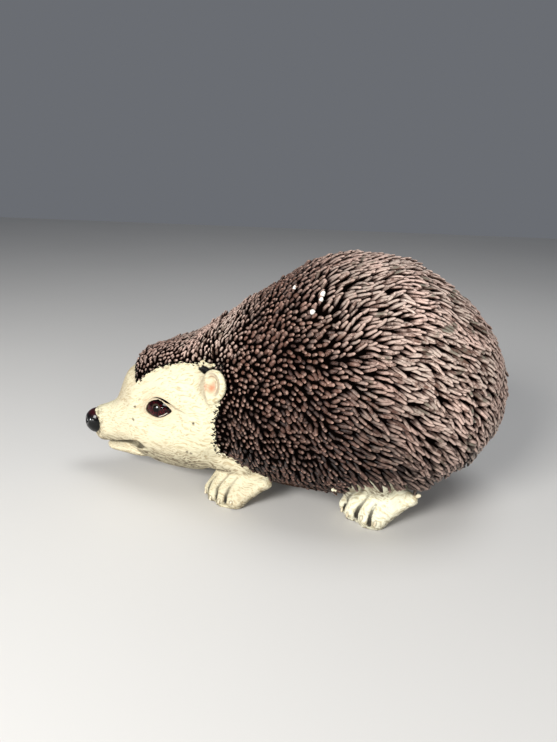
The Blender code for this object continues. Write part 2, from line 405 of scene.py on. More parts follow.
def mouth(p, face):
    """How far a point is outside the open gap between the lips, and how high it stands in it."""
    y, upper, lower = LIPS.T
    top = np.interp(p[:, 1], y, upper)
    bottom = np.interp(p[:, 1], y, lower)
    depth = np.interp(p[:, 1], [-0.128, -0.115, -0.097, -0.0915], [0.0025, 0.0042, 0.0050, 0.0012])
    outside = np.maximum(np.maximum(p[:, 2] - top, bottom - p[:, 2]), -face - depth)
    return np.maximum(outside, p[:, 1] + 0.0908), (p[:, 2] - bottom) / np.maximum(top - bottom, 1e-4)


TOE = 0.0050
FRONT_GROOVES = (
    mm(
        (30.5, -39.1, 19.7), (27.6, -43.2, 12.8), (28.2, -45, 10.1), (31.1, -46.4, 6.9), (35.2, -46.3, 4.2),
        (35.8, -46, 2.8),
    ),
    mm(
        (34.8, -30, 21.5), (34.2, -32, 19.8), (34, -34.2, 17), (34.4, -38, 12.6), (36, -39.6, 9.6),
        (39.3, -39.7, 6.4), (40.6, -39.8, 3.4), (40.8, -39.9, 2.7),
    ),
    mm(
        (36.7, -26.3, 18.7), (36.8, -28.1, 16.6), (39, -31.4, 11.6), (41.4, -32.9, 8.3), (42.9, -33.2, 4.8),
        (43.2, -33.3, 4),
    ),
)
HIND_GROOVES = (
    mm(
        (44.9, 49.9, 20.5), (45.1, 46.9, 18.5), (43, 44.5, 13.8), (39.5, 43, 6.8), (40, 42.7, 5),
        (40.4, 42.4, 4),
    ),
    mm(
        (48, 58, 21.5), (45.4, 56.3, 17.7), (45.1, 54, 13.3), (46.1, 51.5, 9.5), (47.9, 50.1, 6.4),
        (48.8, 50.2, 4.2),
    ),
    mm(
        (49, 61.8, 15.5), (50.5, 59.7, 12.3), (53.1, 58.3, 8.8), (54.6, 57.9, 6.1), (54.9, 57.7, 4.6),
        (55, 57.7, 4),
    ),
)


class Paw:
    """A left paw: a block whose front edge is cut into four toes, drawn back to a heel and up to the leg."""

    def __init__(self, toes, heel, leg, thick, size, drawn_in, edge, knee, grooves, depths, wash, claws):
        self.toes = [np.array([*q, 0.0]) for q in toes]
        self.heel, self.leg, self.thick, self.drawn_in, self.edge = heel, leg, thick, drawn_in, edge
        self.knee, self.grooves, self.depths, self.wash, self.claws = knee, grooves, depths, wash, claws
        inner, outer = self.toes[0], self.toes[-1]
        self.radius = radius = TOE * size
        self.along = unit(outer - inner)
        self.outward = outward = np.array([self.along[1], -self.along[0], 0])
        self.instep = (inner + outer) / 2 - outward * 3.9 * radius + [0, 0, 2.0 * radius]

    def toe_path(self, toe):
        """Points along a toe from the floor to the knuckle, and its radius there."""
        tip = self.toes[toe] - self.outward * self.radius
        path, radii = [], []
        for t in (0, 0.25, 0.5, 0.75, 1):
            rise = math.sin(t * math.pi / 2)
            back = (4.4 - 0.45 * toe) * self.radius * t
            inset = self.along * (self.drawn_in[0] + self.drawn_in[1] * rise) * (1, 0.25, 0, 0)[toe]
            path.append(tip + inset - self.outward * back + [0, 0, self.radius * (0.75 + 2.7 * rise)])
            radii.append(self.radius * (1 + 0.35 * t))
        return path, radii

    def distance(self, p):
        radius = self.radius
        gap = np.full(len(p), 1e3)
        for i in range(4):
            path, radii = self.toe_path(i)
            gap = blend_min(gap, tube_distance(p, path, radii), 0.0030)
        outer = self.toe_path(3)[0][0]
        sweep = [outer, (outer + self.heel) / 2 + self.edge, self.heel]
        gap = blend_min(gap, tube_distance(p, sweep, [radius, 0.88 * radius, 0.55 * radius]), 0.005)
        block = tube_distance(p, [self.instep, self.heel], [2.5 * radius, 0.6 * radius])
        leg = tube_distance(p, [self.instep, self.leg], [2.5 * radius, self.thick * radius])
        block = blend_min(block, leg, 0.005)
        gap = blend_min(gap, block, 0.004)
        if self.knee is not None:
            gap = blend_min(gap, tube_distance(p, self.knee, [0.0042, 0.0045]), 0.004)
        ledge = [toe - 0.0008 * self.outward for toe in self.toes]
        gap = blend_min(gap, tube_distance(p, ledge, [0.0012] * 4), 0.0008)
        tuft = [self.heel + [0.0008, 0.0008, -0.0010], self.heel + [0.0008, 0.0042, -0.0016]]
        gap = blend_min(gap, tube_distance(p, tuft, [0.0011, 0.0004]), 0.0015)
        gap = blend_max(gap, -self.cut(p), 0.0007)
        return blend_max(gap, -p[:, 2], 0.0008)

    def cut(self, p):
        """Distance to the nearest groove between the toes."""
        gap = np.full(len(p), 1e3)
        for line in self.grooves:
            radii = np.interp(np.linspace(0, 1, len(line)), (0, 0.35, 0.7, 1), self.depths)
            gap = np.minimum(gap, tube_distance(p, line, radii))
        return gap


front_paw = Paw(
    toes=mm((29, -50), (36.8, -45.2), (42, -38.5), (43.6, -30)), heel=mm(38.5, -7.8, 17.4), leg=mm(33, -17, 32),
    thick=1.5, size=1.0, drawn_in=mm(2.4, 4), edge=mm(0.2, 0, 0.4), knee=None,
    grooves=FRONT_GROOVES, depths=mm(0.3, 0.6, 0.9, 0.9), wash=mm(14, 5),
    claws=mm((30.6, -48.6, 3.2), (37.6, -43.9, 2.9), (42.6, -37.4, 4), (45.1, -29.1, 5)),
)
hind_paw = Paw(
    toes=mm((37.5, 40.2), (46.2, 44.6), (52, 52.5), (53.6, 58.2)), heel=mm(45.5, 82.5, 18), leg=mm(44, 65, 32),
    thick=1.8, size=1.12, drawn_in=mm(1.8, 2.2), edge=mm(0.6, 0, 0.8), knee=mm((40, 47.5, 14), (42.5, 47.5, 29)),
    grooves=HIND_GROOVES, depths=mm(0.4, 0.8, 1.1, 1.4), wash=mm(20, 5),
    claws=mm((39.8, 41.4, 3.4), (46.3, 44.7, 4.2), (51.9, 53.1, 6.2), (56, 61.2, 5.6)),
)


# ---------------------------------------------------------------- the skin's field

# where the quills begin behind the cheek: y at each height
COAT_EDGE_Z = mm(20, 24.6, 32, 38, 60, 64.5, 71.5, 75.5, 82, 90, 100, 115)
COAT_EDGE_Y = mm(-32, -34, -37, -39.2, -39.2, -38, -37.2, -34, -32.5, -33, -33, -28)
# where the crown's quills begin over the brow: height at each y
CROWN_EDGE_Y = mm(-101.5, -97.3, -92.9, -88.2, -83.4, -79.1, -74.1, -68, -62, -56.2, -49.9, -40, -33)
CROWN_EDGE_Z = mm(66.2, 69.9, 74.3, 78.1, 81.1, 83.1, 85.1, 87, 88.1, 88.8, 88.4, 86.6, 84.5)


def crown_distance(p):
    """Distance to the tips on the crown: a cap over the head, cut off along the brow."""
    x, y, z = p.T
    cap = blend_min(crown_tips.distance(p), head.distance(p) - 0.0030, 0.003)
    edge = np.maximum(np.interp(y, CROWN_EDGE_Y, CROWN_EDGE_Z) - z, -0.1025 + 0.24 * x - y)
    return blend_max(cap, edge, 0.0020)


JOWL = mm((24, -47, 29), (26, -39, 27), (28.5, -29, 26.5))
JOWL_RADII = mm(9, 8.5, 8)


# how high the coat's lower edge is drawn up over the hind paw: height at each y
ARCH_Y = mm(30, 35, 39, 47, 60, 70, 78, 84, 90)
ARCH_Z = mm(0, 18, 35, 40, 41.2, 39.4, 35.2, 28.2, 0)
# the dark gap between the crown and the front of the ear, and the lock of cream hair over it
EAR_GAP = mm((28.8, -51.4, 89.8), (31, -47.6, 89.2), (32.8, -43.6, 91.2), (34.5, -37, 91.5))
EAR_GAP_RADII = mm(1.4, 2, 1.1, 0.9)
LOCK = mm((27.6, -51.6, 90.8), (27, -49.4, 93.6), (28.2, -48.6, 92.2), (30.6, -45.2, 91.4), (31.6, -41.6, 93))
LOCK_RADII = mm(1, 0.6, 0.6, 0.8, 0.5)


def ear_gap(p):
    """Distance to the dark gap in front of the ear."""
    return tube_distance(p, EAR_GAP, EAR_GAP_RADII)


def lock(p):
    """Distance to the lock of cream hair."""
    return tube_distance(p, LOCK, LOCK_RADII)


def coat_depth(p):
    """How far the quill tips stand over the skin."""
    rear = ramp(-0.01, 0.05, p[:, 1])
    return 0.0030 - 0.0002 * rear - 0.0010 * ramp(0.090, 0.135, p[:, 1])


def drawn_in(p):
    """How far the coat is drawn in over the hips, or fuller over the withers."""
    y, z = p[:, 1], p[:, 2]
    hips = bell(y - 0.078, 0.013) * ramp(0.120, 0.145, z)
    withers = bell(y - 0.018, 0.016) * ramp(0.120, 0.140, z)
    return 0.0010 * hips - 0.0012 * withers


def layers(p):
    """Distances to the smooth and to the quilled zones of the skin."""
    y, z = p[:, 1], p[:, 2]
    brow = bell(y + 0.1085, 0.0085, z - 0.0735, 0.0105, p[:, 0], 0.0125)
    face = head.distance(p) - 0.0042 * brow
    far = np.full(len(p), 0.1)
    lip = far.copy()
    near = (y < -0.07) & (z < 0.04)
    lip[near] = jaw.distance(p[near]) + 0.0008
    rim = np.minimum(-0.1345 + 0.0062 * (p[:, 0] / 0.0068) ** 2, -0.1272)
    face = blend_max(face, rim - y, 0.0012)
    smooth = blend_min(face, lip, 0.0015 + 0.0055 * ramp(0.0200, 0.0165, z))
    near = (y < -0.085) & (z < 0.04)
    gap = mouth(p[near], face[near])[0]
    smooth[near] = blend_max(smooth[near], -gap, 0.0013)
    near = (np.abs(y + 0.036) < 0.03) & (z < 0.06)
    smooth[near] = blend_min(smooth[near], tube_distance(p[near], JOWL, JOWL_RADII), 0.006)
    near = (np.abs(y + 0.040) < 0.03) & (z > 0.06)
    ear = far.copy()
    ear[near] = ear_distance(p[near])
    joined = ramp(0.004, -0.006, y - EAR_AT[1] + 0.5 * (z - EAR_AT[2]))
    smooth = blend_min(smooth, ear, 0.0020 + 0.0085 * joined)
    near = z < 0.06
    paws = far.copy()
    if near.any():
        paws[near] = np.minimum(front_paw.distance(p[near]), hind_paw.distance(p[near]))
    near = (np.abs(y - EYE_AT[1]) < 0.03) & (np.abs(z - EYE_AT[2]) < 0.02)
    smooth[near] += eye_relief(p[near])[0]
    quilled = trunk_tips.distance(p) + coat_depth(p) + drawn_in(p)
    quilled = blend_max(quilled, np.interp(z, COAT_EDGE_Z, COAT_EDGE_Y) - y, 0.0025)
    near = (np.abs(y - 0.06) < 0.034) & (z < 0.06)
    quilled[near] = blend_max(quilled[near], np.interp(y[near], ARCH_Y, ARCH_Z) - z[near], 0.003)
    near = (y < 0.02) & (z > 0.05)
    crown = far.copy()
    crown[near] = crown_distance(p[near]) + 0.0026 - 0.0013 * ramp(0.030, 0.008, p[near, 0])
    quilled = blend_min(quilled, crown, 0.004)
    under = belly.distance(p) + 0.001
    return smooth, paws, quilled, under


def field(p):
    """Distance to the skin, with the points of the right side folded onto the left."""
    q = p.copy()
    q[:, 0] = np.abs(q[:, 0])
    smooth, paws, quilled, under = layers(q)
    gap = blend_min(smooth, quilled, 0.0022)
    gap = blend_min(gap, under, 0.005)
    gap = blend_min(gap, paws, 0.003)
    near = (np.abs(q[:, 1] + 0.045) < 0.015) & (q[:, 2] > 0.08) & (q[:, 2] < 0.1)
    gap[near] = blend_max(gap[near], -ear_gap(q[near]), 0.0006)
    gap[near] = blend_min(gap[near], lock(q[near]), 0.0005)
    return gap


def slope(p, step=0.00012):
    """The field's value and gradient."""
    middle = field(p)
    grad = np.empty_like(p)
    for axis in range(3):
        moved = p.copy()
        moved[:, axis] += step
        ahead = field(moved)
        moved[:, axis] -= 2 * step
        grad[:, axis] = (ahead - field(moved)) / (2 * step)
    return middle, grad


# ---------------------------------------------------------------- the skin's mesh


def surface_net(low, high, cell):
    """Corners and four-sided faces of the field's zero surface on an even grid, worked out on one side."""
    count = np.ceil((high - low) / cell).astype(int) + 1
    xs, ys, zs = (low[i] + cell * np.arange(count[i]) for i in range(3))
    y, z = np.meshgrid(ys, zs, indexing="ij")
    value = np.empty(count)
    left = np.flatnonzero(xs >= -cell)
    for i in left:
        value[i] = field(np.stack([np.full(y.size, xs[i]), y.ravel(), z.ravel()], 1)).reshape(y.shape)
    for i in range(left[0]):
        value[i] = value[len(xs) - 1 - i]
    inside = value < 0
    corners = [(a, b, c) for a in (0, 1) for b in (0, 1) for c in (0, 1)]

    def part(array, a, b, c):
        return array[a : count[0] - 1 + a, b : count[1] - 1 + b, c : count[2] - 1 + c]

    filled = sum(part(inside, *corner).astype(np.int8) for corner in corners)
    active = (filled > 0) & (filled < 8)
    cells = np.argwhere(active)
    number = np.full(active.shape, -1)
    number[active] = np.arange(len(cells))
    at = np.stack([value[tuple((cells + corner).T)] for corner in corners], 1)
    total, hits = np.zeros((len(cells), 3)), np.zeros(len(cells))
    for i, first in enumerate(corners):
        for j, second in enumerate(corners):
            if j > i and sum(abs(a - b) for a, b in zip(first, second)) == 1:
                cut = (at[:, i] < 0) != (at[:, j] < 0)
                t = at[cut, i] / (at[cut, i] - at[cut, j])
                total[cut] += np.array(first) + t[:, None] * (np.array(second) - first)
                hits[cut] += 1
    points = low + cell * (cells + total / hits[:, None])
    quads = []
    for axis in range(3):
        others = [i for i in range(3) if i != axis]
        start, end = [slice(1, -1)] * 3, [slice(1, -1)] * 3
        start[axis], end[axis] = slice(0, -1), slice(1, None)
        a, b = inside[tuple(start)], inside[tuple(end)]
        edges = np.argwhere(a != b)
        leaving = a[tuple(edges.T)]
        for i in others:
            edges[:, i] += 1
        one, two = np.eye(3, dtype=int)[others]
        ring = [number[tuple((edges - step).T)] for step in (one + two, two, 0 * one, one)]
        ring = np.stack(ring, 1)
        backward = ~leaving if axis != 1 else leaving
        ring[backward] = ring[backward][:, ::-1]
        quads.append(ring)
    return points, np.concatenate(quads)


def settled(points, rounds, neighbours=None, hold=0.5):
    """Points moved onto the surface, evened out along it first if their neighbours are given."""
    for _ in range(rounds):
        if neighbours is not None:
            a, b = neighbours
            total = np.zeros_like(points)
            np.add.at(total, a, points[b])
            np.add.at(total, b, points[a])
            count = np.bincount(a, minlength=len(points)) + np.bincount(b, minlength=len(points))
            points = points + hold * (total / np.maximum(count, 1)[:, None] - points)
        gap, grad = slope(points)
        size = np.maximum((grad**2).sum(1), 0.05)
        move = grad * (gap / size)[:, None]
        length = np.linalg.norm(move, axis=1, keepdims=True)
        points = points - move * np.minimum(1, 0.0012 / np.maximum(length, 1e-9))
    return points


def wanted_size(p):
    """The edge length the skin's mesh needs at a point, by the detail there."""
    q = mirrored(p)
    x, y, z = q.T
    smooth, paws, quilled, _ = layers(q)
    a, b, c = seen_from(q, EYE_AT, EYE_AXES)
    size = np.full(len(p), 0.0030)
    for where, edge in (
        (np.minimum(smooth, paws) < quilled + 0.0008, 0.0011),
        ((almond(b, c) < 0.0032) & (np.abs(a) < 0.012), 0.00044),
        ((line_gap(b, c, CREASE) < 0.0013) & (np.abs(a) < 0.012), 0.00044),
        (norm((q - EAR_AT) * [0.8, 1, 1]) < 0.0115, 0.00062),
        ((y < -0.086) & (y > -0.129) & (z < 0.031) & (z > 0.014) & (x < 0.020), 0.00065),
        ((paws < 0.002) & (z < 0.024) & (x > 0.015), 0.00080),
        (np.minimum(ear_gap(q), lock(q)) < 0.0012, 0.00050),
    ):
        size[where] = edge
    return size


CELL, QUICK_CELL = 0.0017, 0.0020
NET_SIDE, NET_FRONT, NET_REAR, NET_UNDER, NET_TOP = mm(80, -148, 150, -4, 168)
# edges are cut in two where they are longer than this many times the size wanted there
TOO_LONG = 1.45
LEVELS = 3


def build_skin():
    """The skin as one mesh: an even net over the field's zero surface, made finer where there is detail."""
    cell = CELL
    side = np.ceil(NET_SIDE / cell) * cell
    low, high = np.array([-side, NET_FRONT, NET_UNDER]), np.array([side, NET_REAR, NET_TOP])
    points, quads = surface_net(low, high, cell)
    mesh = bpy.data.meshes.new("skin")
    mesh.from_pydata(points.tolist(), [], quads.tolist())
    built = bmesh.new()
    built.from_mesh(mesh)
    for level in range(LEVELS):
        built.verts.ensure_lookup_table()
        co = np.array([v.co for v in built.verts])
        built.verts.index_update()
        ends = np.array([[v.index for v in e.verts] for e in built.edges])
        co = settled(co, 2, ends.T, 0.25) if level else settled(co, 3, ends.T, 0.4)
        for v, at in zip(built.verts, co):
            v.co = at
        length = norm(co[ends[:, 0]] - co[ends[:, 1]])
        long = length > TOO_LONG * wanted_size(co[ends].mean(1))
        if level == LEVELS - 1 or not long.any():
            break
        built.edges.ensure_lookup_table()
        chosen = [built.edges[i] for i in np.flatnonzero(long)]
        bmesh.ops.subdivide_edges(built, edges=chosen, cuts=1, use_grid_fill=True)
        bmesh.ops.triangulate(built, faces=[f for f in built.faces if len(f.verts) > 4])
    bmesh.ops.recalc_face_normals(built, faces=built.faces)
    built.to_mesh(mesh)
    built.free()
    mesh.shade_smooth()
    return placed("skin", mesh)


def read(name):
    """A vector at each point of the skin."""
    values = np.empty(len(skin.data.vertices) * 3)
    skin.data.vertices.foreach_get(name, values)
    return values.reshape(-1, 3)


skin = build_skin()
points, normals = read("co"), read("normal")

# ---------------------------------------------------------------- what the skin's paint needs at each point


def give(piece, name, values):
    """A number at each point of a piece, for its material."""
    piece.data.attributes.new(name, "FLOAT", "POINT").data.foreach_set("value", np.asarray(values, np.float32))


def zones(p):
    """How far, in millimetres, each point is inside the quilled zone and inside the underside."""
    smooth, paws, quilled, under = layers(mirrored(p))
    cream = np.minimum(smooth, paws)
    return (cream - quilled) * 1000, (np.minimum(cream, quilled) - under) * 1000


coat, bottom = zones(points)
half = mirrored(points)
height = half[:, 2]
a, b, c = seen_from(half, EYE_AT, EYE_AXES)
eye_wash = eye_relief(half)[1]
eye_near = bell(np.maximum(almond(b, c), 0), 0.0065) * ramp(-0.008, -0.003, a)
a, b, c = seen_from(half, EAR_AT, EAR_AXES)
ear_face = ramp(0.0125, 0.0090, norm(half - EAR_AT)) * ramp(-0.003, 0.0, a)
around = ear_round(b, c)
blush = bell(b + 0.0008, 0.0024, c + 0.0016, 0.0032) * ear_face
blush = np.maximum(blush, 0.65 * bell(b + 0.0042, 0.0018, c + 0.0015, 0.0018) * ear_face)
aft = ramp(-0.4, 0.3, (b * 0.8 + c * 0.6) / 0.0085) * ear_face
gap, standing = mouth(half, head.distance(half))
# painted shade in the gap between the lips: darker towards the upper lip, and full at the corner
mouth_wash = np.maximum(
    (0.35 + 0.65 * ramp(0.1, 0.8, standing)) * (half[:, 1] < -0.086), ramp(-0.103, -0.097, half[:, 1])
)
NOSE_AT = np.array([0, cad_low[1] + 0.0065, 0.0358])
dots = np.zeros(len(points))
for at in mm(
    (22.7, -93.7, 63.2), (22.6, -96.9, 57.6), (23.5, -97.9, 48.8), (37.9, -54, 55.6), (35.5, -56.8, 33.3),
    (35.4, -59.2, 34.1),
):
    dots = np.maximum(dots, ramp(0.0012, 0.0007, norm(half - at)))
# dark lines in the grooves between the toes, with painted shade that deepens towards the floor, spreads beside
# the grooves and rings the nails
groove = np.zeros(len(points))
for paw in (front_paw, hind_paw):
    cut = paw.cut(half)
    low_down = ramp(*paw.wash, height)
    groove = np.maximum(groove, ramp(0.0004, 0.0000, cut) * (0.45 + 0.55 * low_down))
    groove = np.maximum(groove, ramp(0.0020, 0.0002, cut) * (0.08 + 0.20 * low_down))
    for claw in paw.claws:
        away = norm((half - claw) / [1, 1, 1.4])
        groove = np.maximum(groove, 0.60 * ramp(0.0019, 0.0010, away))
coat = np.minimum(coat, 4000 * (lock(half) - 0.0006))
for name, values in {
    "coat": coat,
    "bottom": bottom,
    "eye_wash": eye_wash,
    "eye_near": eye_near,
    "blush": blush,
    # painted shade in the ear's folds and inside its rim, on the upper rear side of its face
    "fold": bell(around - 0.60, 0.050) * aft,
    "rim": bell(around - 0.78, 0.065) * aft,
    # painted shade: darker where the skin faces forward, above about 5 cm
    "brow": ramp(-0.30, -0.85, normals[:, 1]) * ramp(0.050, 0.060, height),
    # painted shade in the mouth's gap
    "mouth": ramp(0.0005, -0.0002, gap) * mouth_wash,
    "hatch": ramp(0.0150, 0.0085, norm((half - NOSE_AT) / [1.05, 1.15, 1.0])),
    "dots": dots,
    # painted light: lighter cream from the middle back, so the hind paws look as lit as the front ones under the
    # body's shade
    "hind": ramp(0.015, 0.030, points[:, 1]),
    # painted shade: darker where more skin lies close outward of a point, in the hollows
    "hollow": np.clip(1 - field(points + normals * 0.0012) / 0.0012, 0, 1.5),
    "groove": groove,
    # painted shade: black in the gap in front of the ear, not under the lock
    "pit": ramp(0.0011, 0.0004, ear_gap(half)) * ramp(0.0001, 0.0005, lock(half)),
    # painted shade: the skin darker where it faces down, below about 4 cm, as under the jaw
    "underside_shade": ramp(0.28, -0.62, normals[:, 2]) * ramp(0.043, 0.022, height),
}.items():
    give(skin, name, values)

# ---------------------------------------------------------------- the coat

dice = np.random.default_rng(20)
# how many roots are tried, before those too near another are dropped
QUILL_TRIES, FRINGE_TRIES, HAIR_TRIES = 80000, 5000, 3500
# the body's middle, and the points the quills lie away from and towards
CENTRE, AHEAD, BEHIND = mm((0, 40, 75), (0, -118, 50), (0, 119, 1))
# roots further apart than this across the skin are on different faces of a fold and don't crowd each other
APART = 0.006
# the room each root is pushed to, in its own sizes, and the share of the way it is moved in a round
ROOM, PUSH = 1.15, 0.30
ROUNDS, NEIGHBOURS = 6, 8


def lie_of(p, n):
    """The way the quills lie at each point: away from the brow, and in towards the tail."""
    away, home = p - AHEAD, BEHIND - p
    flow = away / (away**2).sum(1)[:, None] + 1.1 * home / (home**2).sum(1)[:, None]
    rising = ramp(0.0, 0.05, p[:, 2] - 0.085) * ramp(0.09, 0.03, p[:, 1])
    falling = ramp(0.105, 0.065, p[:, 2]) * ramp(0.06, 0.0, p[:, 1])
    low_rear = ramp(0.065, 0.030, p[:, 2]) * ramp(0.030, 0.065, p[:, 1])
    flow[:, 2] += 8.0 * rising + 13.0 * crown_of(p) - 1.5 * falling - 11.0 * low_rear
    flow[:, 1] += 7.0 * crown_of(p) + 7.5 * falling
    return along_skin(flow, n)


def drift(p, size):
    """A number that changes slowly from place to place, around 0."""
    waves = unit(dice.normal(0, 1, (8, 3))) * (2 * math.pi / size) * dice.uniform(0.6, 1.5, (8, 1))
    return np.clip(np.sin(p @ waves.T + 2 * math.pi * dice.random(8)).sum(1) / 2, -1.6, 1.6)


def scattered(count, weight):
    """Random points on the skin's faces, each face chosen by its area times its weight."""
    faces = np.array([tri.vertices for tri in skin.data.loop_triangles])
    a, b, c = (points[faces[:, i]] for i in range(3))
    area = norm(np.cross(b - a, c - a)) * weight[faces].mean(1)
    chosen = faces[dice.choice(len(faces), count, p=area / area.sum())]
    u, v = dice.random(count), dice.random(count)
    over = u + v > 1
    u[over], v[over] = 1 - u[over], 1 - v[over]
    share = np.stack([1 - u - v, u, v], 1)[:, :, None]
    return (points[chosen] * share).sum(1), unit((normals[chosen] * share).sum(1))


def spaced(p, lie, side, long, wide):
    """Which of the points to keep so that none stands too near another, by the lie of each."""
    kept, cells = [], {}
    keys = np.floor(p / long.max()).astype(int)
    for i, key in enumerate(keys):
        x, y, z = key
        near = [
            j for dx in (-1, 0, 1) for dy in (-1, 0, 1) for dz in (-1, 0, 1)
            for j in cells.get((x + dx, y + dy, z + dz), ())
        ]
        if near:
            gap = p[near] - p[i]
            along = (gap @ lie[i]) / long[i]
            across = (gap @ side[i]) / wide[i]
            off = (gap @ np.cross(lie[i], side[i])) / APART
            if (along**2 + across**2 + off**2).min() < 1:
                continue
        kept.append(i)
        cells.setdefault((x, y, z), []).append(i)
    return np.array(kept)


def over_all(p):
    """The outward way at each point of the coat, from the body's broad shape."""
    q, step = mirrored(p), 0.0008
    ahead = []
    for way in np.eye(3):
        sides = []
        for sign in (1, -1):
            at = q + sign * step * way
            sides.append(blend_min(trunk_tips.distance(at), crown_tips.distance(at), 0.016))
        ahead.append(sides[0] - sides[1])
    return unit(np.stack(ahead, 1)) * side_of(p)


def evened(p):
    """The roots pushed apart along the skin until they are evenly spread, with their ways and sizes."""
    for turn in range(ROUNDS + 1):
        n = over_all(p)
        lie = lie_of(p, n)
        side = np.cross(lie, n)
        kind, on_crown = kind_of(p), crown_of(p)
        long, wide = room_of(kind, on_crown)
        if turn == ROUNDS:
            return p, n, lie, side, kind, on_crown
        tree = KDTree(len(p))
        for i, at in enumerate(p):
            tree.insert(at, i)
        tree.balance()
        near = np.array([[hit[1] for hit in tree.find_n(at, NEIGHBOURS + 1)][1:] for at in p])
        gap = p[near] - p[:, None]
        along = (gap * lie[:, None]).sum(2) / long[:, None]
        across = (gap * side[:, None]).sum(2) / wide[:, None]
        size = np.maximum(np.hypot(along, across), 1e-6)
        push = np.maximum(ROOM - size, 0) / size
        p = p - PUSH * (push * along).sum(1)[:, None] * lie * long[:, None]
        p = p - PUSH * (push * across).sum(1)[:, None] * side * wide[:, None]
        p = settled(mirrored(p), 1) * side_of(p)


def crown_of(p):
    """1 over the crown and 0 off it."""
    return ramp(-0.024, -0.050, p[:, 1] - 0.35 * (p[:, 2] - 0.09)) * ramp(0.066, 0.074, p[:, 2])


def room_of(kind, on_crown):
    """How much room a quill takes along its lie and across it."""
    return (0.0035 + 0.0021 * kind) * (1 - 0.12 * on_crown), (0.00285 - 0.00080 * kind) * (1 - 0.30 * on_crown)


def kind_of(p):
    """0 where the quills are short pegs, by the shoulder, to 1 where they are long and lie flat."""
    border = np.interp(p[:, 2], (0.030, 0.110, 0.130, 0.152), (0.040, 0.037, 0.032, 0.015))
    return ramp(-0.024, 0.024, p[:, 1] - border)


def unwrapped(p):
    """Each point's place, from 0 to 1, on the skin opened out flat from a seam underneath."""
    way = unit((p - CENTRE) / [0.070, 0.120, 0.080])
    way = way / np.abs(way).sum(1)[:, None]
    u, v = way[:, 0], way[:, 1]
    under = way[:, 2] < 0
    folded_u = (1 - np.abs(v)) * np.where(u < 0, -1, 1)
    folded_v = (1 - np.abs(u)) * np.where(v < 0, -1, 1)
    return np.stack([np.where(under, folded_u, u), np.where(under, folded_v, v)], 1) / 2 + 0.5


# where the paint is knocked off a quill's tip
CHIPS = mm(
    (20.7, 6.8, 139.5), (26.1, 5.5, 136.2), (37.8, 22.2, 135), (39.4, 19.2, 132.2), (40.7, 15.8, 129.1),
)
# the rings of a quill: how far along it they are, and their share of its radius if it is a short peg or long
STEPS = np.array([0, 0.20, 0.42, 0.64, 0.80, 0.90, 0.96, 1.0])
PEG = np.array([0.72, 0.88, 0.99, 1.0, 0.90, 0.70, 0.44, 0.0])
SPINDLE = np.array([0.55, 0.84, 1.0, 0.99, 0.92, 0.76, 0.50, 0.0])
# the share of tips with a crater in them, and its depth
CRATERED, CRATER = 0.06, 0.0012
# how unevenly a quill waves, and how far its surface is from round
WAVE, WOBBLE = 0.14, 0.05
# the size of the patch each quill has in the map
PATCH = 0.003


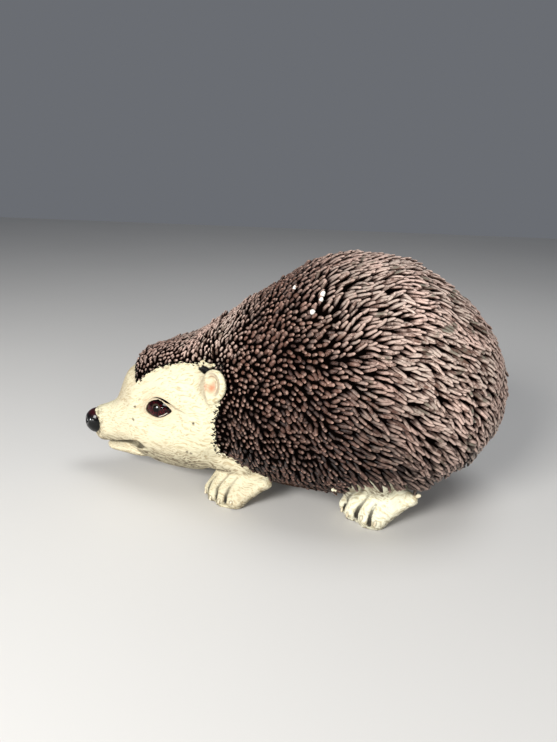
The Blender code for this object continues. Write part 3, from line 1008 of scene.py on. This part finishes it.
def grow(name, roots, lie, length, radius, lean, kind, look, sides=7, sunk=0.0009, bend=0.25, flat=0.86):
    """One mesh of solid quills: each is a closed, bent spindle of rings from under the skin to its tip."""
    p, n = roots
    count, rings = len(p), len(STEPS)
    lean = [np.broadcast_to(v, count) for v in lean]
    kind = np.broadcast_to(kind, count)
    side = np.cross(lie, n)
    centre = p - n * sunk
    sway = dice.normal(0, bend, count)[:, None]
    wave, phase = dice.normal(0, WAVE, count)[:, None], dice.random(count)[:, None]
    spine, ways = [], []
    for k, step in enumerate(STEPS):
        angle = lean[0] + (lean[1] - lean[0]) * step
        turning = sway * step + wave * np.sin(2 * math.pi * (step + phase))
        way = unit(n * np.cos(angle)[:, None] + lie * np.sin(angle)[:, None] + side * turning)
        if k:
            centre = centre + way * (length * (step - STEPS[k - 1]))[:, None]
        spine.append(centre)
        ways.append(way)
    spine, ways = np.stack(spine, 1), np.stack(ways, 1)
    cratered = (dice.random(count) < CRATERED)[:, None]
    spine[:, -1] -= ways[:, -1] * CRATER * cratered
    width = radius[:, None] * (PEG + (SPINDLE - PEG) * kind[:, None])
    cross_side = unit(np.cross(ways, n[:, None, :]) + side[:, None, :] * 0.02)
    cross_up = np.cross(cross_side, ways)
    turn = 2 * math.pi * np.arange(sides) / sides
    ring = np.cos(turn)[:, None] * cross_side[:, :-1, None, :]
    ring = ring + flat * np.sin(turn)[:, None] * cross_up[:, :-1, None, :]
    wobble = 1 + dice.normal(0, WOBBLE, (count, rings - 1, sides, 1))
    body = spine[:, :-1, None, :] + ring * width[:, :-1, None, None] * wobble
    per = (rings - 1) * sides + 2
    co = np.concatenate([body.reshape(count, -1, 3), spine[:, -1:], spine[:, :1]], 1)
    tip, base = per - 2, per - 1
    m = np.arange(sides)
    after = (m + 1) % sides
    quads = np.concatenate([
        k + np.stack([m, after, sides + after, sides + m], 1) for k in range(0, (rings - 2) * sides, sides)
    ])
    last = (rings - 2) * sides
    caps = np.concatenate([
        np.stack([last + m, last + after, np.full(sides, tip)], 1), np.stack([after, m, np.full(sides, base)], 1)
    ])
    start = (np.arange(count) * per)[:, None, None]
    corners = np.concatenate([(quads + start).reshape(count, -1), (caps + start).reshape(count, -1)], 1)
    sizes = np.tile(np.concatenate([np.full(len(quads), 4), np.full(len(caps), 3)]), count)
    mesh = bpy.data.meshes.new(name)
    mesh.vertices.add(count * per)
    mesh.vertices.foreach_set("co", co.astype(np.float32).ravel())
    mesh.loops.add(corners.size)
    mesh.loops.foreach_set("vertex_index", corners.astype(np.int32).ravel())
    mesh.polygons.add(len(sizes))
    mesh.polygons.foreach_set("loop_start", np.concatenate([[0], np.cumsum(sizes)[:-1]]).astype(np.int32))
    mesh.polygons.foreach_set("loop_total", sizes.astype(np.int32))
    mesh.update(calc_edges=True)
    mesh.shade_smooth()
    piece = placed(name, mesh)
    along = np.concatenate([np.repeat(STEPS[:-1], sides), [1.0, 0.0]])
    up = np.concatenate([np.tile(np.sin(turn), rings - 1), [0.6, -1.0]])
    round_it = np.concatenate([np.tile(np.arange(sides) / sides, rings - 1), [0.5, 0.5]])
    give(piece, "along", np.tile(along, count))
    give(piece, "up", np.tile(up, count))
    for key, values in look.items():
        give(piece, key, np.repeat(np.broadcast_to(values, count), per))
    home = unwrapped(p)
    low, high = home.min(0), home.max(0)
    home = (home - low) / np.maximum(high - low, 1e-3) * 0.992 + 0.002
    patch = np.stack([round_it, along], 1) * PATCH
    uv = (home[:, None, :] + patch[None]).reshape(-1, 2)[corners.ravel()]
    mesh.uv_layers.new(name="OFBake").data.foreach_set("uv", uv.astype(np.float32).ravel())
    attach(piece, "root")
    return piece


def swung(way, side, spin):
    """Ways turned by an angle along the skin, towards the side."""
    return way * np.cos(spin)[:, None] + side * np.sin(spin)[:, None]


# the coat's pieces, and the y at which shoulder, ribs and flank end
PARTS = (
    "shoulder_right", "shoulder_left", "ribs_right", "ribs_left", "flank_right", "flank_left", "rump_right",
    "rump_left", "crown",
)
PART_ENDS = mm(12, 46, 86)

skin.data.calc_loop_triangles()
quilled = ramp(0.3, 0.5, coat) * ramp(-0.2, -0.8, bottom)
roots, ups = scattered(QUILL_TRIES, quilled)
lie = lie_of(roots, ups)
long, wide = room_of(kind_of(roots), crown_of(roots))
keep = spaced(roots, lie, np.cross(lie, ups), 0.84 * long, 0.84 * wide)
roots, ups, lie, across, kind, on_crown = evened(roots[keep])
edge, under = zones(roots)
keep = (edge > 0.25) & (under < -0.3)
roots, ups, lie, across, kind, on_crown, edge = (v[keep] for v in (roots, ups, lie, across, kind, on_crown, edge))
count = len(roots)
low = ramp(0.060, 0.035, roots[:, 2])
spin = drift(roots, 0.020) * (0.32 - 0.20 * kind) * (1 - 0.3 * on_crown) * (1 + 0.4 * low)
spin += dice.normal(0, 1, count) * (0.24 - 0.15 * kind) * (1 + 0.5 * low)
lie = swung(lie, across, spin)
tilt = 58 + 19 * kind + 12 * on_crown + drift(roots, 0.020) * (5 - 2.5 * kind)
tilt = np.radians(tilt + dice.normal(0, 1, count) * (5 - 2 * kind - 2 * on_crown))
length = (0.0052 + 0.0054 * kind - 0.0004 * on_crown) * np.exp(dice.normal(0, 0.11, count))
length *= 1 - 0.22 * ramp(0.085, 0.125, roots[:, 1])
radius = (0.00126 - 0.00017 * kind - 0.00034 * on_crown) * np.exp(dice.normal(0, 0.15 - 0.05 * kind, count))
length *= 0.50 + 0.50 * ramp(0.3, 4.0, edge)
radius *= 0.78 + 0.22 * ramp(0.3, 3.0, edge)
# where the skin rises ahead of a quill, it stands up by as much as it would sink in
reach = length[:, None] * (np.cos(tilt)[:, None] * ups + np.sin(tilt)[:, None] * lie)
sinking = np.clip(length * np.cos(tilt) - field(roots + reach), 0, 0.5 * length)
tilt = np.maximum(tilt - sinking / length, 0.5)
shaped = np.maximum(kind, 0.85 * on_crown)
chance = dice.random(count)
pale = ramp(0.022, 0.106, roots[:, 1] + 0.55 * (roots[:, 2] - 0.080))
pale = np.maximum(pale, on_crown * (0.32 + 0.42 * ramp(-0.085, -0.055, roots[:, 1])))
chip = np.zeros(count)
for at in CHIPS:
    hit = np.argmin(norm(roots - at))
    chip[hit] = 1
    radius[hit] *= 1.05
# painted shade: quills darker low on the body, where less light reaches them; also darker near the crown's front
# edge
shade = 0.74 * ramp(0.105, 0.035, roots[:, 2])
shade = np.maximum(shade, 0.72 * on_crown * ramp(2.6, 0.6, edge))
look = {"kind": kind, "chance": chance, "pale": pale, "chip": chip, "shade": shade}
left = roots[:, 0] > 0
part_of = 2 * np.searchsorted(PART_ENDS, roots[:, 1]) + left
part_of[on_crown > 0.5] = PARTS.index("crown")
coats = []
for name in PARTS:
    mine = part_of == PARTS.index(name)
    coats.append(
        grow(
            "quills_" + name, (roots[mine], ups[mine]), lie[mine], length[mine], radius[mine],
            (tilt[mine] * 0.88, tilt[mine] * 1.10), shaped[mine], {k: v[mine] for k, v in look.items()},
        )
    )
def deeper(p, n):
    """The way along the skin in which the coat gets deeper."""
    step = 0.0004
    grad = np.stack([zones(p + step * axis)[0] - zones(p - step * axis)[0] for axis in np.eye(3)], 1)
    return along_skin(grad, n)


def thinned(p, n, way, long, wide, spin):
    """Roots spaced out, each with its way turned a little at random."""
    side = np.cross(way, n)
    keep = spaced(p, way, side, np.full(len(p), long), np.full(len(p), wide))
    spin = dice.normal(0, 1, len(keep)) * np.broadcast_to(spin, len(p))[keep]
    return p[keep], n[keep], swung(way[keep], side[keep], spin)


# a fringe of tiny dark quills along the edge of the face, lying forward over it
border = bell(coat - 0.25, 0.30) * (bottom < -1) * (points[:, 1] < -0.005) * (points[:, 2] > 0.037)
at, out = scattered(FRINGE_TRIES, border)
over = crown_of(at)[:, None]
way = unit(-deeper(at, out) * (1 - over) + lie_of(at, out) * over)
at, out, way = thinned(at, out, way, 0.0016, 0.0009, 0.5)
tiny = dice.random(len(at))
coats.append(
    grow(
        "quills_fringe", (at, out), way, 0.0014 + 0.0012 * tiny, 0.00024 + 0.00018 * tiny, (0.9, 1.25), 1.0,
        {"kind": -1.0, "chance": dice.random(len(at)), "pale": 0.0}, sides=5, sunk=0.0004,
    )
)

# cream hairs that break the edge of the coat over the paws, under the jowl and along the brow
brow = ramp(0.078, 0.084, points[:, 2]) * ramp(-0.045, -0.055, points[:, 1])
weight = bell(coat + 0.15, 0.45) * (bottom < -0.5)
weight *= np.maximum(ramp(0.046, 0.036, points[:, 2]), 0.30 * brow)
at, out = scattered(HAIR_TRIES, weight)
inward = deeper(at, out)
on_brow = at[:, 2:] > 0.06
edgewise = np.cross(inward, out)
way = unit(np.where(on_brow, edgewise * np.where(edgewise[:, 1:2] < 0, -1, 1), inward))
at, out, way = thinned(at, out, way, 0.0022, 0.0011, np.where(on_brow[:, 0], 0.15, 0.40))
tiny = dice.random(len(at))
hairs = grow(
    "cream_hairs", (at, out), way, 0.0024 + 0.0022 * tiny,
    (0.00034 + 0.00024 * tiny) * np.where(at[:, 2] > 0.06, 0.6, 1), (1.05, 1.35), 1.0,
    {"chance": dice.random(len(at))}, sides=5, sunk=0.0004,
)

# cream tufts at the knees and the hind heels
tip = mm((56.3, 35, 26), (56.7, 36.7, 26.2), (47.7, 88.2, 23.5))
at = settled(tip, 5)
out = unit(tip - at)
way = unit(np.cross(out, [[0.0, 0.2, 1.0]]))
at, out, way = (np.concatenate([v, v * MIRROR]) for v in (at, out, way))
tufts = grow(
    "cream_tufts", (at, out), way, np.tile(norm(tip - at[:3]) + 0.0010, 2),
    np.tile([0.0013, 0.0010, 0.0013], 2), (0, 0.4), 0, {"chance": 0.9}, sides=9, bend=0,
)

# ---------------------------------------------------------------- eyes, nose and nails


def ball(name, at, axes, radii, across=56, around=72, relief=None):
    """A fine ball in a feature's own frame, its pole outward, shaped by a relief on its directions."""
    mesh = mesh_by(bmesh.ops.create_uvsphere, name, u_segments=around, v_segments=across, radius=1)
    way = np.array([v.co for v in mesh.vertices])[:, [2, 0, 1]]
    local = way * radii
    if relief is not None:
        local = local * (1 + relief(way, local))[:, None]
    mesh.vertices.foreach_set("co", (np.asarray(at) + local @ axes).astype(np.float32).ravel())
    mesh.shade_smooth()
    piece = placed(name, mesh)
    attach(piece, "root")
    return piece, local


EYE_BALL = mm(6.6, 12, 8.4)
PUPIL = mm(-1, -0.8)
lid_cos, lid_sin = math.cos(LID_TILT), math.sin(LID_TILT)
tilted = np.array([[1, 0, 0], [0, lid_cos, lid_sin], [0, -lid_sin, lid_cos]])
eyes = []
for side, sign in (("left", 1), ("right", -1)):
    axes = EYE_AXES * [sign, 1, 1]
    at = EYE_AT * [sign, 1, 1] - axes[0] * 0.0022
    eye, local = ball("eye_" + side, at, tilted @ axes, EYE_BALL)
    if sign < 0:
        eye.data.flip_normals()
    aft, high = (local[:, 1:] @ tilted[1:, 1:]).T
    # painted shadow of the upper lid: the black at the lids reaches further in at the upper rear
    upper_lid_shadow = ramp(-0.001, 0.004, aft) * ramp(-0.002, 0.001, high)
    give(eye, "from_pupil", np.hypot(aft - PUPIL[0], high - PUPIL[1]) * 1000)
    give(eye, "from_lid", almond(aft, high) * 1000 + 1.1 * upper_lid_shadow)
    give(eye, "high", high * 1000)
    give(eye, "aft", aft * 1000)
    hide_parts("eye_" + side)
    eyes.append(eye)


def nose_relief(way, local):
    """Nostrils low at each side, a groove down the middle and a soft bridge over it."""
    x, up = local[:, 1], local[:, 2]
    front = ramp(0.0, 0.5, way[:, 0])
    nostril = bell(np.abs(x) - 0.0036, 0.0014, up + 0.0010, 0.0019)
    comma = bell(np.abs(x) - 0.0052, 0.0010, up + 0.0008, 0.0012)
    groove = bell(x, 0.00055) * ramp(0.004, -0.001, up)
    return -front * (0.30 * nostril + 0.10 * comma + 0.09 * groove)


nose_turn = Matrix.Rotation(math.radians(-12), 3, "X")
nose_axes = np.array([nose_turn @ Vector(v) for v in ((0, -1, 0), (1, 0, 0), (0, 0, 1))])
nose, local = ball(
    "nose", NOSE_AT + mm(0, 2.2, -0.3), nose_axes, mm(9, 7.6, 9.2), relief=nose_relief
)
give(nose, "high", local[:, 2] * 1000)
give(nose, "ahead", local[:, 0] * 1000)
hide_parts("nose")
nails = []
for side, sign in (("left", 1), ("right", -1)):
    for place, paw in (("front", front_paw), ("hind", hind_paw)):
        axes = np.stack([paw.outward * 0.94 + [0, 0, 0.34], paw.along, [0, 0, 1.0] - paw.outward * 0.30])
        axes = unit(axes) * [sign, 1, 1]
        for toe in range(4):
            at = (paw.claws[toe] - paw.outward * 0.0002) * [sign, 1, 1]
            nail, _ = ball(f"nail_{place}_{side}_{toe + 1}", at, axes, mm(0.9, 0.8, 1.8), 16, 20)
            if sign < 0:
                nail.data.flip_normals()
            nails.append(nail)

# ---------------------------------------------------------------- materials


def srgb(r, g, b):
    return tuple(((v / 255 + 0.055) / 1.055) ** 2.4 if v > 10 else v / 3294.6 for v in (r, g, b))


class Value:
    """What a node gives out, for use in sums."""

    def __init__(self, paint, socket):
        self.paint, self.socket = paint, socket

    def __add__(self, other):
        return self.paint.math("ADD", self, other)

    def __sub__(self, other):
        return self.paint.math("SUBTRACT", self, other)

    def __rsub__(self, other):
        return self.paint.math("SUBTRACT", other, self)

    def __mul__(self, other):
        return self.paint.math("MULTIPLY", self, other)


class Paint:
    """A material and short ways to add nodes to it. Colours are given as sRGB from 0 to 255."""

    def __init__(self, name):
        self.material = bpy.data.materials.new(name)
        self.material.use_nodes = True
        self.tree = self.material.node_tree
        self.shader = self.tree.nodes["Principled BSDF"]

    def put(self, socket, value):
        if isinstance(value, Value):
            self.tree.links.new(value.socket, socket)
        else:
            socket.default_value = (*srgb(*value), 1) if socket.type == "RGBA" else value

    def node(self, kind, inputs=(), out=0, **settings):
        made = self.tree.nodes.new("ShaderNode" + kind)
        for key, value in settings.items():
            setattr(made, key, value)
        for key, value in dict(inputs).items():
            self.put(made.inputs[key], value)
        return Value(self, made.outputs[out])

    def math(self, operation, *values, clamp=False):
        return self.node("Math", dict(enumerate(values)), operation=operation, use_clamp=clamp)

    def vector(self, operation, *values, out=0, **more):
        return self.node("VectorMath", {**dict(enumerate(values)), **more}, out, operation=operation)

    def read(self, name):
        return self.node("Attribute", out=2, attribute_name=name)

    def place(self):
        return self.node("NewGeometry")

    def noise(self, scale, detail=2, rough=0.5, at=None, out=0):
        at = at or self.place()
        return self.node("TexNoise", {"Vector": at, "Scale": scale, "Detail": detail, "Roughness": rough}, out)

    def step(self, low, high, value):
        """0 up to low and 1 from high, with a smooth rise between."""
        inputs = {"Value": value, "From Min": low, "From Max": high}
        return self.node("MapRange", inputs, interpolation_type="SMOOTHSTEP")

    def span(self, low, high, value):
        """From low where the value is 0 to high where it is 1."""
        return self.node("MapRange", {"Value": value, "To Min": low, "To Max": high})

    def mix(self, share, one, two):
        return self.node("Mix", {0: share, 6: one, 7: two}, 2, data_type="RGBA")

    def layered(self, colour, *layers):
        """A colour with others laid over it in turn, each after the share of it that shows."""
        for share, over in layers:
            colour = self.mix(share, colour, over)
        return colour

    def set(self, **values):
        for key, value in values.items():
            self.put(self.shader.inputs[key.replace("_", " ")], value)

    def bump(self, height, distance, strength=1.0):
        return self.node("Bump", {"Height": height, "Distance": distance, "Strength": strength})


def paint_quills():
    """Dark brown paint, black in the gaps as dark paint and painted shade, dry-brushed pale on the tips and the
    raised backs as paint and painted highlight, and painted shade low on the body.
    """
    m = Paint("painted_quills")
    along, up, kind, chance, pale = (m.read(name) for name in ("along", "up", "kind", "chance", "pale"))
    other = m.math("FRACT", chance * 7.31)
    fine = m.noise(2.4, 3, 0.6, m.node("CombineXYZ", {"X": chance * 90.0, "Y": up * 0.8, "Z": along}))
    bare = 1.0 - pale * 0.45
    # the pale of the dry brush, which on the quills' outward backs is also a painted highlight
    pale_and_highlight_colour = m.layered(
        m.mix(m.step(0.35, 0.65, m.noise(45)), (221, 191, 177), (209, 191, 177)),
        (m.step(0.56, 0.64, m.noise(85)) * m.step(0.25, 0.40, chance), (126, 124, 110)),
    )
    dry_brush_and_highlight = m.step(0.30, 0.54, fine * 0.7 + m.noise(900) * 0.3 + (other - 0.5) * 0.20)
    dry_brush_and_highlight = m.step(0.22, 0.88, up) * m.step(0.22, 0.55, along) * dry_brush_and_highlight
    # pale tips on the outward side: dry brush and a painted highlight
    tip = m.step(0.74, 0.97, along) * m.step(0.28, 0.50, fine) * m.step(-0.5, 0.2, kind)
    tip = tip * m.step(0.05, 0.35, other) * m.step(-0.5, 0.4, up)
    colour = m.layered(
        m.mix(chance, (42, 24, 19), (90, 58, 46)),
        (pale * 0.50, (118, 90, 78)),
        # dark paint at the roots and on the sides facing the skin, also a painted shade where the quills crowd
        (m.step(0.62, 0.10, along) * bare, (6, 3, 3)),
        (m.step(0.75, 0.05, up) * bare, (10, 6, 5)),
        (dry_brush_and_highlight * (pale * 0.90 + 0.06) * 0.90, pale_and_highlight_colour),
        (tip * 0.60, m.mix(pale, (208, 170, 152), (240, 212, 198))),
        # painted shade low on the body, lighter on the pale backs
        (m.math("MULTIPLY", m.read("shade"), 1.20 - dry_brush_and_highlight * 0.75, clamp=True), (12, 8, 7)),
        (m.read("chip") * m.step(0.55, 0.68, along), (246, 242, 232)),
        (m.step(-0.2, -0.8, kind), (10, 8, 7)),
    )
    m.set(Base_Color=colour, Roughness=m.span(0.30, 0.62, m.noise(700)), Specular_IOR_Level=0.22)
    m.set(Normal=m.bump(m.noise(2600, 2, 0.6), 0.00012, 0.7))
    return m.material


def paint_hairs():
    """Ivory strokes, darker at their roots."""
    m = Paint("painted_hairs")
    colour = m.layered(
        m.mix(m.read("chance"), (194, 182, 150), (218, 210, 182)),
        (m.step(0.5, 0.0, m.read("along")), (140, 120, 86)),
    )
    m.set(Base_Color=colour, Roughness=m.step(-0.8, 1.4, m.noise(900)))
    m.set(Normal=m.bump(m.noise(2200), 0.0001, 0.5))
    return m.material


def paint_skin():
    """Warm ivory with brushed strokes, painted shade in the hollows, ear folds, mouth, paw grooves, under the jaw
    and on the faces turned forward, lighter cream behind as painted light, and near black under the quills.
    """
    m = Paint("painted_skin")
    from_nose = m.vector("SUBTRACT", m.place(), (0.0, -0.165, 0.036))
    far = m.vector("LENGTH", from_nose, out=1)
    warp = m.vector("SCALE", m.noise(60, out=1), Scale=0.10)
    way = m.vector("ADD", m.vector("NORMALIZE", from_nose), warp)

    def strokes(scale, run):
        """Noise drawn out along the ways that lead back from the nose."""
        inputs = {"Vector": way, "W": far * run, "Scale": scale, "Detail": 2}
        return m.node("TexNoise", inputs, noise_dimensions="4D")

    strands = m.node("Mix", {0: m.step(0.075, 0.110, far), 2: strokes(80, 1.1), 3: strokes(120, 0.7)})
    light = m.step(0.32, 0.54, strands)
    cream = m.layered(
        m.mix(light, (182, 167, 132), (212, 206, 176)),
        (m.step(0.42, 0.70, m.noise(26)) * 0.20, (198, 172, 146)),
        (m.read("eye_near") * 0.30, (186, 154, 128)),
        # painted shade in the hollows
        (m.step(0.52, 0.66, m.read("hollow")) * 0.25, (150, 130, 100)),
        # painted shade in the ear's folds and rim
        (m.read("rim") * 0.70, (146, 128, 116)),
        (m.read("fold") * 0.90, (128, 88, 66)),
        (m.read("blush") * 0.95, (228, 124, 90)),
        # painted light: lighter cream on the hind paws
        (m.read("hind"), m.mix(light, (206, 194, 160), (232, 228, 202))),
        (m.read("hatch") * m.step(0.46, 0.56, m.noise(420, 3, 0.6)) * 0.85, (70, 60, 46)),
        # painted shade on the skin turned forward
        (m.read("brow") * 0.55, (140, 124, 104)),
        # painted shade under the jaw and low down, broken by the strokes
        (m.read("underside_shade") * (m.step(0.58, 0.38, strands) * 0.6 + 0.4), (72, 58, 42)),
        (m.read("eye_wash") * 0.88, (52, 41, 33)),
        # painted shade in the mouth
        (m.read("mouth") * 0.97, (20, 18, 12)),
        # dark groove lines and painted shade on the paws
        (m.read("groove") * 0.97, (22, 16, 10)),
        (m.read("dots") * 0.95, (58, 46, 34)),
        # painted shade in the gap in front of the ear
        (m.read("pit"), (4, 2, 2)),
    )
    edge = m.read("coat") + ((m.noise(520, 2, 0.6) - 0.5) * 3.0 + (strands - 0.5) * 2.0)
    colour = m.layered(
        cream,
        # near black under the quills: dark paint, painted as dark as the shade between the quills
        (m.step(-0.10, 0.25, edge), m.mix(m.noise(300), (2, 1, 1), (8, 5, 4))),
        (m.step(-1.2, 0.2, m.read("bottom")), m.mix(m.noise(160, 3), (40, 30, 25), (66, 50, 42))),
    )
    height = strands * 0.8 + strokes(34, 2.0) * 0.6 + m.noise(1800) * 0.15
    m.set(Base_Color=colour, Roughness=m.span(0.42, 0.62, strands))
    m.set(Specular_IOR_Level=m.step(0.2, -0.2, edge) * 0.16, Normal=m.bump(height, 0.0012, 0.85))
    return m.material


def paint_eye():
    """Black pupil, a smoky ring, dark garnet with flecks, black towards the lids, wider under the upper rear lid
    as a painted shadow of it, and a painted reflection along the lower rear lid, under clear gloss.
    """
    m = Paint("glass_eye")
    out, lid, high = m.read("from_pupil"), m.read("from_lid"), m.read("high")
    flecks = m.noise(1100, 3, 0.6)
    ring = m.step(1.9, 2.5, out) * m.step(3.9, 2.9, out) * m.step(-2.5, 1.5, high)
    # a painted reflection: a pale thin line along the lower rear edge of the eye, by the lid
    lid_reflection = m.step(-1.15, -0.90, lid) * m.step(-0.45, -0.70, lid)
    lid_reflection = lid_reflection * m.step(0.6, 1.8, m.read("aft")) * m.step(-0.9, -1.7, high)
    iris = m.layered(
        m.mix(m.step(0.50, 0.68, flecks), (16, 3, 5), (100, 8, 20)),
        (ring, (48, 44, 36)),
        (m.step(2.6, 2.0, out), (2, 2, 2)),
        # black at the lids, wider at the upper rear as a painted shadow of the lid
        (m.step(-1.1, -0.3, lid), (8, 4, 4)),
        (lid_reflection * 0.85, (206, 196, 184)),
    )
    m.set(Base_Color=iris, Roughness=0.35, Specular_IOR_Level=0.0)
    m.set(Coat_Weight=0.9, Coat_Roughness=0.03, Coat_IOR=1.27, Normal=m.bump(flecks, 0.0001, 0.15))
    return m.material


def paint_nose():
    """Black, reddish brown on top, under gloss."""
    m = Paint("glossy_nose")
    grain = m.noise(1100, 3, 0.6)
    top = m.step(3.6, 7.2, m.read("high") + (grain - 0.5) * 3.0)
    m.set(Base_Color=m.mix(top, (4, 4, 5), (44, 8, 14)), Roughness=0.30, Specular_IOR_Level=0.08)
    m.set(Coat_Weight=0.9, Coat_Roughness=0.08, Coat_IOR=1.32, Normal=m.bump(grain, 0.0003, 0.35))
    return m.material


def paint_nails():
    m = Paint("painted_nails")
    colour = m.mix(m.step(0.35, 0.65, m.noise(900)), (186, 168, 132), (226, 216, 190))
    m.set(Base_Color=colour, Roughness=0.4, Normal=m.bump(m.noise(1600), 0.0002, 0.5))
    return m.material


for pieces, paint in (
    (coats, paint_quills()), ([hairs, tufts], paint_hairs()), (nails, paint_nails()), (eyes, paint_eye()),
    ([nose], paint_nose()), ([skin], paint_skin()),
):
    for piece in pieces:
        piece.data.materials.append(paint)
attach(skin, "root")
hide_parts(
    "trunk", "crown", "head", "lower_jaw", "belly", "ear_left", "ear_right",
    "paw_front_left", "paw_front_right", "paw_hind_left", "paw_hind_right",
)

# ---------------------------------------------------------------- floor, light and camera


def paint_floor():
    m = Paint("pale_floor")
    m.set(Base_Color=m.mix(m.noise(3, 3), (214, 212, 208), (222, 220, 216)), Roughness=0.75)
    return m.material


floor = placed("floor", mesh_by(bmesh.ops.create_grid, "floor", size=1.6))
floor.data.materials.append(paint_floor())
floor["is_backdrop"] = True

world = bpy.data.worlds.new("studio")
world.use_nodes = True
sky = world.node_tree.nodes["Background"].inputs
sky["Color"].default_value = (0.85, 0.90, 1.0, 1)
sky["Strength"].default_value = 0.17
bpy.context.scene.world = world


def lamp(name, at, width, height, power, colour=(1, 1, 1), aim=(0, 0, 0.06)):
    light = bpy.data.lights.new(name, "AREA")
    light.shape = "RECTANGLE"
    light.size, light.size_y = width, height
    light.energy = power
    light.color = colour
    made = placed(name, light)
    made.location = at
    made.rotation_euler = (Vector(aim) - Vector(at)).to_track_quat("-Z", "Y").to_euler()


lamp("window", (0.76, -0.42, 0.54), 0.34, 0.34, 9.4, (1.0, 0.99, 0.97))
lamp("overhead", (-0.05, 0.20, 1.00), 0.50, 0.50, 3.2, (0.95, 0.97, 1.0))
lamp("fill", (0.85, 0.50, 0.26), 0.50, 0.40, 3.1, (1.0, 0.98, 0.96))
lamp("front_pane", (0.54, -0.83, 0.07), 0.11, 0.125, 3.0, aim=(0.03, -0.08, 0.06))
lamp("side_pane", (0.77, -0.61, 0.12), 0.12, 0.035, 1.1, aim=(0.03, -0.08, 0.06))

camera = placed("camera", bpy.data.cameras.new("camera"))
# its right, up and backward ways
camera_ways = Matrix(((-0.10073, 0.99455, 0.02709), (-0.33457, -0.05950, 0.94049), (0.93697, 0.08567, 0.33874)))
camera.matrix_world = Matrix.Translation((0.3649, 0.0282, 0.2120)) @ camera_ways.transposed().to_4x4()
camera.data.sensor_width = 36
camera.data.lens = 28.53
camera.data.clip_start = 0.01
bpy.context.scene.camera = camera
bpy.context.scene.view_settings.view_transform = "Standard"

low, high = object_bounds()
